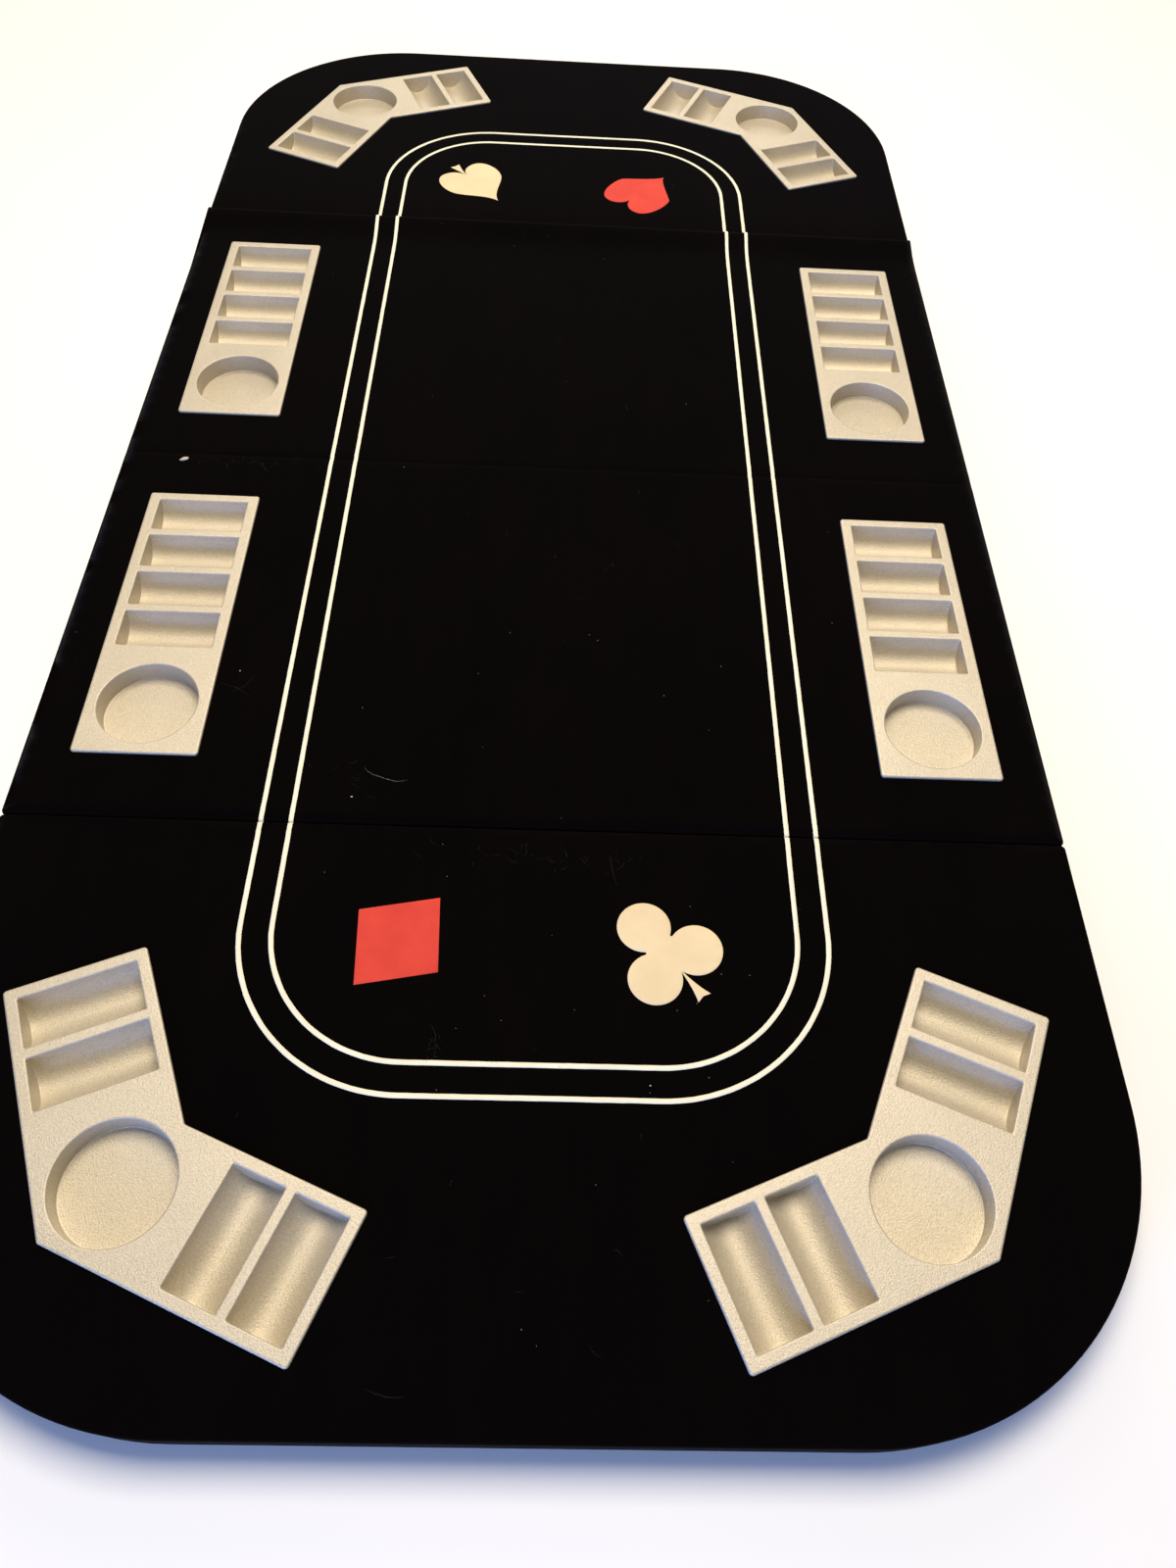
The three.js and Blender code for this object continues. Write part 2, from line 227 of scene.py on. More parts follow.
def fill_sheet(outer, holes, extra=()):
    """Triangles between an outer loop and holes, with extra points inside: (points, triangles)."""
    loops = [list(outer)] + [list(h) for h in holes]
    points, edges = [], []
    for loop in loops:
        base = len(points)
        points += loop
        edges += [(base + i, base + (i + 1) % len(loop)) for i in range(len(loop))]
    if len(extra):
        cloud = np.array([tuple(p)[:2] for p in extra])
        points += [Vector(p) for p in cloud[between(cloud, outer, holes)]]
    flat = [Vector((p[0], p[1])) for p in points]
    out, _, faces, _, _, _ = delaunay_2d_cdt(flat, edges, [], 0, 1e-7)
    centres = np.array([tuple(sum((out[i] for i in f), Vector((0, 0))) / len(f)) for f in faces])
    chosen = []
    for face, wanted in zip(faces, between(centres, outer, holes)):
        if wanted:
            a, b, c = (out[i] for i in face)
            ccw = (b - a).cross(c - a) > 0
            chosen.append(tuple(face) if ccw else tuple(reversed(face)))
    return out, chosen


class Builder:
    """Collects vertices and faces, and joins rings of points into strips."""

    def __init__(self):
        self.verts = []
        self.faces = []

    def add(self, points):
        start = len(self.verts)
        self.verts += [tuple(p) for p in points]
        return list(range(start, len(self.verts)))

    def strip(self, first, second, closed=True, outward=True):
        count = len(first)
        for i in range(count if closed else count - 1):
            j = (i + 1) % count
            if outward:
                self.faces.append((first[i], second[i], second[j], first[j]))
            else:
                self.faces.append((first[i], first[j], second[j], second[i]))

    def rings(self, rings, closed=True, outward=True):
        ids = [self.add(ring) for ring in rings]
        for first, second in zip(ids, ids[1:]):
            self.strip(first, second, closed, outward)
        return ids

    def fill(self, outer, holes, height, extra=(), turned=False):
        """Closes an outline less its holes, at height(x, y), facing down if turned."""
        flat, triangles = fill_sheet(outer, holes, extra)
        ids = self.add([(p.x, p.y, height(p.x, p.y)) for p in flat])
        step = -1 if turned else 1
        self.faces += [tuple(ids[i] for i in face[::step]) for face in triangles]

    def piece(self, name, finish, body=None, weld=None, smooth=True):
        """The piece made of what was collected, with its doubled points welded if a distance is given."""
        verts, faces = self.weld(weld) if weld else (self.verts, self.faces)
        return new_piece(name, verts, faces, finish, body, smooth)

    def weld(self, distance=1e-6):
        mesh = bmesh.new()
        made = [mesh.verts.new(v) for v in self.verts]
        for face in self.faces:
            if len(set(face)) >= 3:
                try:
                    mesh.faces.new([made[i] for i in face])
                except ValueError:
                    continue
        bmesh.ops.remove_doubles(mesh, verts=mesh.verts, dist=distance)
        loose = [v for v in mesh.verts if not v.link_faces]
        bmesh.ops.delete(mesh, geom=loose, context="VERTS")
        mesh.verts.index_update()
        verts = [tuple(v.co) for v in mesh.verts]
        faces = [tuple(v.index for v in f.verts) for f in mesh.faces]
        mesh.free()
        return verts, faces


def shell(piece, thickness, even=True):
    """Gives an open skin its wall, inwards and below."""
    modifier = piece.modifiers.new("wall", "SOLIDIFY")
    modifier.thickness = thickness
    modifier.offset = -1
    modifier.use_even_offset = even
    modifier.use_rim = True
    return piece


# Materials

class Nodes:
    """A new node material, and short names for what goes into it."""

    def __init__(self, name, slot, colour, roughness, metallic=0.0, **sockets):
        """Constants are set on the shader's own sockets."""
        material = bpy.data.materials.new(name)
        material.use_nodes = True
        self.finish = (material, slot)
        self.tree = material.node_tree
        self.shader = self.tree.nodes["Principled BSDF"]
        sockets |= {"Base Color": colour, "Roughness": roughness, "Metallic": metallic}
        for socket, value in sockets.items():
            self.feed(self.shader.inputs[socket.replace("_", " ")], value)
        self.coords = self.node("TexCoord", "Object", {})

    def feed(self, socket, value):
        """Links an output to a socket, or sets the socket's own value."""
        if isinstance(value, bpy.types.NodeSocket):
            self.tree.links.new(value, socket)
        elif socket.type == "RGBA" and len(value) == 3:
            socket.default_value = (*value, 1)
        else:
            socket.default_value = value

    def node(self, kind, output, inputs, **settings):
        """The output of a new node, after its settings are made and its inputs fed."""
        node = self.tree.nodes.new("ShaderNode" + kind)
        for setting, value in settings.items():
            setattr(node, setting, value)
        for socket, value in inputs.items():
            self.feed(node.inputs[socket], value)
        return node.outputs[output]

    def scaled(self, x, y, z, turn=0.0):
        return self.node("Mapping", "Vector", {"Scale": (x, y, z), "Rotation": (0, 0, turn),
                                               "Vector": self.coords})

    def noise(self, scale, detail, rough, vector=None, distort=0.0):
        return self.node("TexNoise", "Fac", {"Scale": scale, "Detail": detail, "Roughness": rough,
                                             "Distortion": distort, "Vector": vector or self.coords})

    def ramp(self, value, low, high, start=0.3, stop=0.7):
        """A blend of two colours, as a value goes from start to stop."""
        output = self.node("ValToRGB", "Color", {"Fac": value})
        for element, position, colour in zip(output.node.color_ramp.elements, (start, stop), (low, high)):
            element.position = position
            element.color = (*colour, 1)
        return output

    def grey(self, value, low, high, out_low=0.0, out_high=1.0):
        return self.node("MapRange", "Result", {"Value": value, "From Min": low, "From Max": high,
                                                "To Min": out_low, "To Max": out_high}, clamp=True)

    def times(self, a, b):
        return self.node("Math", "Value", {0: a, 1: b}, operation="MULTIPLY")

    def mix(self, factor, a, b):
        return self.node("Mix", 2, {0: factor, 6: a, 7: b}, data_type="RGBA")

    def specks(self, scale, sizes, chances):
        """Dots in the middles of a few cells: their edges fade over sizes, their number over chances."""
        distance = self.node("TexVoronoi", "Distance", {"Scale": scale, "Vector": self.coords})
        random_colour = distance.node.outputs["Color"]
        return self.times(self.grey(distance, *sizes, 1, 0), self.grey(random_colour, *chances))

    def colour(self, output):
        self.feed(self.shader.inputs["Base Color"], output)

    def roughness(self, output):
        self.feed(self.shader.inputs["Roughness"], output)

    def bump(self, height, strength, distance):
        normal = self.node("Bump", "Normal", {"Strength": strength, "Distance": distance, "Height": height})
        for socket in ("Normal", "Coat Normal"):
            self.feed(self.shader.inputs[socket], normal)


def velvet_finish():
    """Short black velvet: soft patches of painted sheen where it is brushed, a fine pile, and sparse specks
    of lint.
    """
    n = Nodes("black_velvet", "black_felt", (0.001, 0.0008, 0.0008), 1.0,
              Sheen_Weight=0.075, Sheen_Roughness=0.3, Sheen_Tint=(1.0, 0.88, 0.98, 1),
              Specular_IOR_Level=0.03)
    patches = n.noise(5.5, 3, 0.55, distort=0.6)
    strokes = n.noise(1.0, 5, 0.6, vector=n.scaled(38, 9, 20, 0.35))
    pile = n.noise(1500, 2, 0.7)
    # Painted sheen: soft patches of lighter and darker black stand in for the sheen of the brushed velvet
    painted_nap_sheen = n.mix(0.5, patches, strokes)
    black = n.ramp(painted_nap_sheen, (0.0002, 0.0001, 0.0001), (0.0020, 0.0011, 0.0011), 0.30, 0.72)
    black = n.mix(n.grey(pile, 0.35, 0.75), black, (0.0026, 0.0016, 0.0016))
    speck = n.specks(110, (0.03, 0.08), (0.90, 0.92))
    n.colour(n.mix(n.times(speck, 0.45), black, (0.26, 0.22, 0.20)))
    n.bump(pile, 0.55, 0.5 * MM)
    return n.finish


def tray_finish():
    """Moulded plastic sprayed silver-champagne: satin, with a fine leathery grain and flake."""
    n = Nodes("champagne_silver", "silver_tray", (0.57, 0.50, 0.38), 0.5, 0.5,
              Coat_Weight=0.22, Coat_Roughness=0.30)
    leather = n.noise(700, 3, 0.65, distort=0.3)
    flake = n.noise(1300, 2, 0.6)
    base = n.ramp(n.noise(14, 3, 0.5), (0.545, 0.478, 0.362), (0.60, 0.53, 0.405))
    base = n.mix(n.grey(leather, 0.50, 0.34, 0, 0.40), base, (0.33, 0.285, 0.21))
    n.colour(n.mix(n.grey(flake, 0.50, 0.68, 0, 0.50), base, (0.86, 0.80, 0.69)))
    n.roughness(n.grey(flake, 0.3, 0.7, 0.44, 0.62))
    n.bump(n.mix(0.35, leather, flake), 0.9, 0.6 * MM)
    return n.finish


def print_finish(name, slot, low, high, stain):
    """Flocked transfer print: matt, slightly mottled, with the pile showing through."""
    n = Nodes(name, slot, high, 0.8, Sheen_Weight=0.1, Specular_IOR_Level=0.25)
    fibres = n.noise(1300, 2, 0.65)
    base = n.ramp(n.noise(24, 4, 0.6), low, high, 0.3, 0.65)
    base = n.mix(n.grey(fibres, 0.45, 0.8, 0, 0.35), base, stain)
    spot = n.specks(90, (0.06, 0.16), (0.84, 0.87))
    n.colour(n.mix(n.times(spot, 0.35), base, stain))
    n.bump(fibres, 0.35, 0.25 * MM)
    return n.finish


def board_finish():
    """Raw fibreboard: fine fibres, darker flecks, a dusty cut face."""
    n = Nodes("fibreboard", None, (0.36, 0.25, 0.15), 0.85)
    fibres = n.noise(1.0, 6, 0.65, vector=n.scaled(260, 900, 500))
    flecks = n.noise(420, 3, 0.6)
    base = n.ramp(n.noise(7, 3, 0.5), (0.30, 0.205, 0.12), (0.41, 0.295, 0.18))
    base = n.mix(n.grey(fibres, 0.35, 0.7, 0, 0.55), base, (0.50, 0.38, 0.25))
    n.colour(n.mix(n.grey(flecks, 0.62, 0.7, 0, 0.6), base, (0.13, 0.085, 0.05)))
    n.roughness(n.grey(fibres, 0.3, 0.7, 0.75, 0.95))
    n.bump(fibres, 0.3, 0.4 * MM)
    return n.finish


def paint_finish():
    """Black-painted rails: low sheen, a rolled-paint texture and scuffs that show the board."""
    n = Nodes("black_paint", None, (0.014, 0.013, 0.013), 0.5)
    roll = n.noise(210, 4, 0.6)
    scuff = n.noise(1.0, 6, 0.7, vector=n.scaled(26, 140, 60), distort=0.8)
    base = n.ramp(n.noise(9, 3, 0.5), (0.011, 0.010, 0.010), (0.021, 0.019, 0.018))
    n.colour(n.mix(n.grey(scuff, 0.66, 0.76, 0, 0.55), base, (0.085, 0.065, 0.048)))
    n.roughness(n.grey(roll, 0.3, 0.7, 0.42, 0.66))
    n.bump(roll, 0.35, 0.5 * MM)
    return n.finish


def steel_finish():
    """Zinc-plated steel: brushed along the hinge, faintly blotched."""
    n = Nodes("zinc_plate", "hinge_steel", (0.60, 0.61, 0.62), 0.36, 1.0)
    brush = n.noise(1.0, 4, 0.6, vector=n.scaled(30, 1500, 1500))
    n.colour(n.ramp(n.noise(60, 4, 0.6), (0.50, 0.51, 0.53), (0.68, 0.68, 0.66)))
    n.roughness(n.grey(brush, 0.3, 0.7, 0.26, 0.48))
    n.bump(brush, 0.2, 0.1 * MM)
    return n.finish


def rubber_finish():
    """Moulded black rubber with a dusty bloom."""
    n = Nodes("black_rubber", "rubber_foot", (0.022, 0.022, 0.023), 0.8)
    bloom = n.noise(70, 4, 0.6)
    n.colour(n.ramp(bloom, (0.016, 0.016, 0.017), (0.055, 0.053, 0.050), 0.35, 0.75))
    n.roughness(n.grey(bloom, 0.3, 0.7, 0.7, 0.92))
    n.bump(n.noise(1400, 2, 0.6), 0.3, 0.2 * MM)
    return n.finish


def tape_finish():
    """Black cloth tape with a plain weave."""
    n = Nodes("cloth_tape", "hinge_tape", (0.02, 0.018, 0.018), 0.85, Sheen_Weight=0.15)
    warp, weft = (n.node("TexWave", "Fac", {"Scale": 300, "Vector": n.coords}, bands_direction=way)
                  for way in ("X", "Y"))
    weave = n.times(warp, weft)
    n.colour(n.ramp(weave, (0.010, 0.009, 0.009), (0.045, 0.041, 0.040), 0.1, 0.8))
    n.bump(weave, 0.5, 0.2 * MM)
    return n.finish


def floor_finish():
    """Plain pale floor, very faintly uneven."""
    n = Nodes("pale_floor", None, (0.9, 0.9, 0.9), 0.8)
    n.colour(n.ramp(n.noise(1.5, 2, 0.5), (0.89, 0.89, 0.89), (0.92, 0.92, 0.92)))
    return n.finish


# Finishes: (material, slot) pairs
FELT = velvet_finish()
TRAY = tray_finish()
CREAM = print_finish("cream_print", "cream_print", (0.73, 0.585, 0.36), (0.80, 0.65, 0.41),
                     (0.55, 0.43, 0.27))
IVORY = print_finish("ivory_line", "cream_print", (0.80, 0.77, 0.60), (0.87, 0.85, 0.68), (0.62, 0.57, 0.43))
RED = print_finish("red_print", "red_print", (0.60, 0.043, 0.026), (0.70, 0.058, 0.034), (0.44, 0.026, 0.018))
BOARD = board_finish()
PAINT = paint_finish()
STEEL = steel_finish()
RUBBER = rubber_finish()
TAPE = tape_finish()
LINT = print_finish("lint", "cream_print", (0.42, 0.36, 0.27), (0.66, 0.60, 0.48), (0.25, 0.2, 0.15))
FIBRE = print_finish("dust_fibre", "cream_print", (0.020, 0.012, 0.010), (0.034, 0.022, 0.018),
                     (0.012, 0.008, 0.007))


def paint_frame_nodes():
    """Materials for the CAD nodes that stay in view."""
    rules = (("deck", BOARD), ("rail", PAINT), ("hinge_tape", TAPE), ("leaf", STEEL), ("pin", STEEL),
             ("foot", RUBBER), ("tray", TRAY), ("felt", FELT))
    for name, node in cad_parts.items():
        material, _ = next(finish for word, finish in rules if word in name)
        node.data.materials.clear()
        node.data.materials.append(material)


# Trays

def side_tray_corners(inset=0.0):
    """Rectangle of a side tray, its slots towards +Y."""
    return rectangle(*(size / 2 - inset for size in SIDE_TRAY_SIZE))


def corner_tray_corners(inset=0.0):
    """Bent strip about the cup, opening towards +Y."""
    half, reach = ARM_WIDTH / 2 - inset, ARM_REACH - inset
    elbow = half / math.sin(ARM_HALF_ANGLE)
    sin, cos = math.sin(ARM_HALF_ANGLE), math.cos(ARM_HALF_ANGLE)
    outer = (sin * reach + cos * half, cos * reach - sin * half)
    inner = (sin * reach - cos * half, cos * reach + sin * half)
    return [(0, -elbow), outer, inner, (0, elbow), (-inner[0], inner[1]), (-outer[0], outer[1])]


def side_tray_slots():
    """Places and turns of the slots in a side tray."""
    first = SIDE_TRAY_SIZE[1] / 2 - SLOT_MARGIN - SLOT_WIDTH / 2
    return [(0, first - i * SLOT_PITCH, 0) for i in range(4)]


def corner_tray_slots():
    """Places and turns of the slots in a corner tray, two in each arm."""
    first = ARM_REACH - SLOT_MARGIN - SLOT_WIDTH / 2
    slots = []
    for turn in (ARM_HALF_ANGLE, -ARM_HALF_ANGLE):
        for i in range(2):
            reach = first - i * SLOT_PITCH
            slots.append((-reach * math.sin(turn), reach * math.cos(turn), turn))
    return slots


def slot_rings(x, y, turn):
    """Rings from the rim down a trough of half-round section with rounded end corners."""
    radius, length = (size / 2 - WELL_PLAY for size in (SLOT_WIDTH, SLOT_LENGTH))
    profile = [(length + EDGE_ROUND + SUPPORT, radius + EDGE_ROUND + SUPPORT, 0.0)]
    profile += [(length + EDGE_ROUND * out, radius + EDGE_ROUND * out, EDGE_ROUND * down)
                for out, down in quarter(EDGE_STEPS)]
    start = math.asin(EDGE_ROUND / radius)
    steps, draft, narrowest = 14, 0.03, 0.12 * MM
    for k in range(1, steps + 1):
        angle = start + (math.pi / 2 - start) * k / steps
        depth = radius * math.sin(angle)
        profile.append((length - draft * depth, max(radius * math.cos(angle), narrowest), depth))
    rings = []
    for half_length, half_width, depth in profile:
        corner = min(1.6 * MM, half_width * 0.85)
        points, _ = rounded_loop(rectangle(half_length, half_width), [corner] * 4, 1.0, 5)
        rings.append([Vector((*p, RIM_TOP - depth)) for p in placed(points, x, y, turn)])
    return rings


def cup_rings(x, y):
    """Rings down a cup well: rounded rim, wall with a little draft, rounded foot, level floor."""
    wall, depth = CUP_RADIUS - WELL_PLAY, CUP_DEPTH - WELL_PLAY
    low, foot_round, sides = wall - 0.5 * MM, 1.3 * MM, 72
    profile = [(wall + EDGE_ROUND + SUPPORT, 0.0)]
    profile += [(wall + EDGE_ROUND * out, EDGE_ROUND * down) for out, down in quarter(EDGE_STEPS)]
    profile.append(((wall + low) / 2, depth / 2))
    profile += [(low - foot_round * down, depth - foot_round * out) for out, down in quarter(EDGE_STEPS)]
    profile += [(low - foot_round - SUPPORT, depth), (wall * 0.6, depth), (wall * 0.2, depth)]
    return lathe([(r, RIM_TOP - d) for r, d in profile], sides, x, y)


def tray_mesh(corners, slots, cup):
    """A moulded tray skin in its own place: flat rim with a rounded edge, and its wells."""
    build = Builder()
    points, normals = rounded_loop(corners, [3.2 * MM] * len(corners), 1.0, 6)
    profile = [(-RIM_ROUND - SUPPORT, 0.0)]
    profile += [(-RIM_ROUND * out, RIM_ROUND * down) for out, down in quarter(EDGE_STEPS)]
    profile.append((0.0, RIM_TOP - RIM_BOTTOM))
    outer = [[Vector((*(p + n * off), RIM_TOP - drop)) for p, n in zip(points, normals)]
             for off, drop in profile]
    build.rings(outer)
    wells = [slot_rings(*slot) for slot in slots] + [cup_rings(*cup)]
    for rings in wells:
        ids = build.rings(rings, outward=False)
        build.faces.append(tuple(ids[-1]))
    build.fill(outer[0], [rings[0] for rings in wells], lambda x, y: RIM_TOP)
    return build.weld()


def tray_places(along):
    """The trays of one end as (side, kind, panel, x, y, turn)."""
    for side, across in (("left", -1), ("right", 1)):
        turn = across * (1 if along < 0 else 3) * math.pi / 4
        yield side, "side", "middle", across * SIDE_TRAY_X, along * FAR_FOLD_Y / 2, 0.0
        yield side, "corner", "end", across * CORNER_TRAY[0], along * CORNER_TRAY[1], turn


def add_trays():
    skins = {"side": tray_mesh(side_tray_corners(), side_tray_slots(), (0, -SIDE_CUP_OFFSET)),
             "corner": tray_mesh(corner_tray_corners(), corner_tray_slots(), (0, 0))}
    for end, along in ENDS:
        for side, kind, panel, x, y, turn in tray_places(along):
            node = f"{end}_{side}_{kind}_tray"
            verts, faces = skins[kind]
            move = Matrix.Translation((x, y, 0)) @ Matrix.Rotation(turn, 4, "Z")
            moved = [move @ Vector(v) for v in verts]
            piece = new_piece(node + "_moulding", moved, faces, TRAY, f"{end}_{panel}_panel")
            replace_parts(shell(piece, WALL), node)


# Felt

def felt_lift(x, y):
    """Relief of the felt over its flat level: a pucker at the far fold, creases at the others."""
    lift = 0.22 * MM * noise.noise(Vector((x * 7, y * 7, 0.3)))
    to_far = FAR_FOLD_Y - y
    if 0 <= to_far < 110 * MM:
        sway = 1 + 0.12 * noise.noise(Vector((x * 4.2, 1.7, 0)))
        lift += 9.5 * MM * sway * math.exp(-((to_far / (27 * MM)) ** 2))
    if abs(y) < 60 * MM:
        lift -= 0.75 * MM * math.exp(-((y / (2.6 * MM)) ** 2))
        lift += 0.55 * MM * math.exp(-(((abs(y) - 13 * MM) / (9 * MM)) ** 2))
    to_near = y - NEAR_FOLD_Y
    if abs(to_near) < 40 * MM:
        lift += 0.5 * MM * math.exp(-(((abs(to_near) - 9 * MM) / (8 * MM)) ** 2))
    return lift


def felt_z(x, y):
    return FELT_TOP + felt_lift(x, y)


def tray_holes(along, kind):
    """Holes of one panel, hidden under the rims of its trays."""
    corners = side_tray_corners(CUTOUT_INSET) if kind == "side" else corner_tray_corners(CUTOUT_INSET)
    return [rounded_loop(placed(corners, x, y, turn), [2 * MM] * len(corners), FELT_GRID, 3)[0]
            for _, tray, _, x, y, turn in tray_places(along) if tray == kind]


def grid_points(x0, x1, y0, y1, rows=()):
    """Points of a jittered grid, with any extra rows across the width."""
    draw = random.Random(7)
    points = []
    nx, ny = round((x1 - x0) / FELT_GRID), round((y1 - y0) / FELT_GRID)
    for j in range(1, ny):
        y = y0 + (y1 - y0) * j / ny
        if any(abs(y - row) < 0.7 * FELT_GRID for row in rows):
            continue
        for i in range(1, nx):
            x = x0 + (x1 - x0) * (i + (j % 2) / 2 - 0.25) / nx
            points.append((x, y + draw.uniform(-0.1, 0.1) * FELT_GRID))
    for row in rows:
        points += [(x0 + (x1 - x0) * i / nx, row) for i in range(1, nx)]
    return points


def skirt_profile():
    """Rings of the turned-down felt as (offset, height) on an outer edge and at a fold."""
    roll = [(-FELT_ROLL * out, FELT_TOP - FELT_ROLL * down) for out, down in quarter(ROLL_STEPS)]
    outer = roll + [(0, 26 * MM), (0, 14 * MM), (0, HEM_Z + 1.6 * MM), (-0.5 * MM, HEM_Z + 0.5 * MM),
                    (-1.6 * MM, HEM_Z), (-HEM_WIDTH * 0.6, HEM_Z), (-HEM_WIDTH, HEM_Z + 0.05 * MM)]
    fold = roll + [(0, z * MM) for z in (30, 22, 18, 14, 11, 9, 7.2)]
    return outer, fold


def skirt(build, points, normals, fold_side, closed):
    """Felt turned over the edge: full hem on outer edges, shorter where a fold follows."""
    outer, fold = skirt_profile()
    draw = random.Random(11)
    ragged = [draw.uniform(-0.7, 0.7) * MM for _ in points]
    rings = []
    for k, ((out_a, z_a), (out_b, z_b)) in enumerate(zip(outer, fold)):
        ring = []
        for p, n, rag in zip(points, normals, ragged):
            share = max(0.0, n.y * fold_side) ** 2
            offset = out_a + (out_b - out_a) * share
            height = z_a + (z_b - z_a) * share
            if k == len(outer) - 1:
                offset += rag * (1 - share)
            lift = felt_lift(p.x, p.y) * max(0.0, 1 - k / ROLL_STEPS)
            q = p + n * offset
            ring.append(Vector((q.x, q.y, height + lift)))
        rings.append(ring)
    build.rings(rings, closed=closed)
    return rings[0]


def end_felt(end, along):
    """Felt of an end panel, in one piece with its turned-down edges."""
    fold_y = along * (FAR_FOLD_Y + FOLD_GAP / 2 - FELT_PROUD)
    tip_y = along * (HALF_LENGTH + FELT_PROUD)
    half = HALF_WIDTH + FELT_PROUD
    low, high = min(fold_y, tip_y), max(fold_y, tip_y)
    corners = [(-half, low), (half, low), (half, high), (-half, high)]
    big = CORNER_RADIUS + FELT_PROUD
    radii = [big, big, FELT_CORNER, FELT_CORNER] if along < 0 else [FELT_CORNER, FELT_CORNER, big, big]
    points, normals = rounded_loop(corners, radii, FELT_GRID, 4)
    build = Builder()
    edge = skirt(build, points, normals, -along, True)
    cloud = grid_points(-half, half, low, high)
    build.fill([e.xy for e in edge], tray_holes(along, "corner"), felt_z, cloud)
    snap_edge(build, edge)
    piece = build.piece(f"{end}_end_felt_cover", FELT, f"{end}_end_panel", 2e-5)
    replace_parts(shell(piece, FELT_THICKNESS, even=False), f"{end}_end_felt")


def snap_edge(build, edge):
    """Gives the flat sheet's edge the heights of the skirt that it joins."""
    heights = {(round(e.x, 6), round(e.y, 6)): e.z for e in edge}
    for i, (x, y, _) in enumerate(build.verts):
        key = (round(x, 6), round(y, 6))
        if key in heights:
            build.verts[i] = (x, y, heights[key])


def middle_felt():
    """The unbroken felt over both middle panels, and its turned-down edges on each of them."""
    half = HALF_WIDTH + FELT_PROUD
    fold_y = FAR_FOLD_Y - FOLD_GAP / 2 + FELT_PROUD
    points, normals = rounded_loop(rectangle(half, fold_y), [FELT_CORNER] * 4, FELT_GRID, 4)
    edge = [p - n * FELT_ROLL for p, n in zip(points, normals)]
    rows = [k * MM for k in (-18, -12, -7, -4.5, -3, -2, -1.2, -0.5, 0.5, 1.2, 2, 3, 4.5, 7, 12, 18)]
    rows += [fold_y - k * MM for k in (6, 11, 17, 25, 34, 45)]
    cloud = grid_points(-half + FELT_ROLL, half - FELT_ROLL, -fold_y + FELT_ROLL, fold_y - FELT_ROLL, rows)
    build = Builder()
    build.fill(edge, tray_holes(-1, "side") + tray_holes(1, "side"), felt_z, cloud)
    cover = build.piece("middle_felt_cover", FELT)
    shell(cover, FELT_THICKNESS, even=False)
    for end, along in ENDS:
        middle_skirt(end, along, half, fold_y)
        fold_tucks(end, along, half)
    bend(cover)
    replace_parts(cover, "near_middle_felt", "far_middle_felt")


def middle_skirt(end, along, half, fold_y):
    """Turned-down edge of one middle panel: an open strip that stops at the middle fold."""
    start_y = along * SLIT_HALF
    corners = [(half, start_y), (half, along * fold_y), (-half, along * fold_y), (-half, start_y)]
    if along < 0:
        corners.reverse()
    points, normals = rounded_loop(corners, [0.1 * MM, FELT_CORNER, FELT_CORNER, 0.1 * MM], FELT_GRID, 4)
    order = runs([n.y * along > -0.05 for n in normals])[0]
    build = Builder()
    skirt(build, [points[i] for i in order], [normals[i] for i in order], along, False)
    piece = build.piece(f"{end}_middle_felt_edge", FELT, f"{end}_middle_panel", FINE_WELD)
    return shell(piece, FELT_THICKNESS, even=False)


def fold_tucks(end, along, half):
    """Felt turned round the panel's corners into the middle fold, one flap at each side."""
    build = Builder()
    columns = [half - inset * MM for inset in (1.3, 8, 16)]
    for side in (-1, 1):
        rings = [[Vector((side * (x - taper * MM), along * SLIT_HALF, z * MM)) for x in columns]
                 for z, taper in TUCK_PROFILE]
        build.rings(rings, closed=False, outward=side * along < 0)
    piece = build.piece(f"{end}_middle_felt_tucks", FELT, f"{end}_middle_panel")
    return shell(piece, 0.8 * MM)


def bend(piece):
    """A piece that lies unbroken over the middle fold."""
    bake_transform(piece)


# Prints

def fold_drop(y, edge_y, away):
    """Carries a run of print past a panel's flat edge, round the roll and down: (y, z offset)."""
    past = (y - edge_y) * away
    round_length = FELT_ROLL * math.pi / 2
    if past < round_length:
        angle = past / FELT_ROLL
        return edge_y + away * FELT_ROLL * math.sin(angle), -FELT_ROLL * (1 - math.cos(angle))
    return edge_y + away * FELT_ROLL, -FELT_ROLL - (past - round_length)


def stripe_strip(path, normals, low_edge, high_edge):
    """Ribbon along a stretch of stripe: four points across, its outer two turned down."""
    draw = random.Random(5)
    build = Builder()
    half, shoulder = STRIPE_WIDTH / 2, 0.25 * MM
    columns = ((-half, 0.0), (-half + shoulder, PRINT_RAISE), (half - shoulder, PRINT_RAISE), (half, 0.0))
    rings = [[] for _ in columns]
    for p, n in zip(path, normals):
        for ring, (out, rise) in zip(rings, columns):
            fuzz = draw.uniform(-0.10, 0.10) * MM if rise == 0 else 0
            q = p + n * (out + fuzz)
            y, drop = q.y, 0.0
            proud = rise + PRINT_FOOT
            level = felt_z(q.x, max(low_edge, min(high_edge, q.y)))
            if q.y < low_edge:
                y, drop = fold_drop(q.y, low_edge, -1)
            elif q.y > high_edge:
                y, drop = fold_drop(q.y, high_edge, 1)
            turned = min(1.0, -drop / FELT_ROLL)
            push = proud * turned * (1 if q.y > high_edge else -1)
            ring.append(Vector((q.x, y + push, level + drop + proud * (1 - turned))))
    build.rings(rings, closed=False)
    return build


def runs(flags):
    """Stretches of a closed loop where flags hold, each as a list of indices in order."""
    start = flags.index(False)
    order = [(start + k) % len(flags) for k in range(len(flags))]
    return [list(stretch) for holds, stretch in groupby(order, lambda i: flags[i]) if holds]


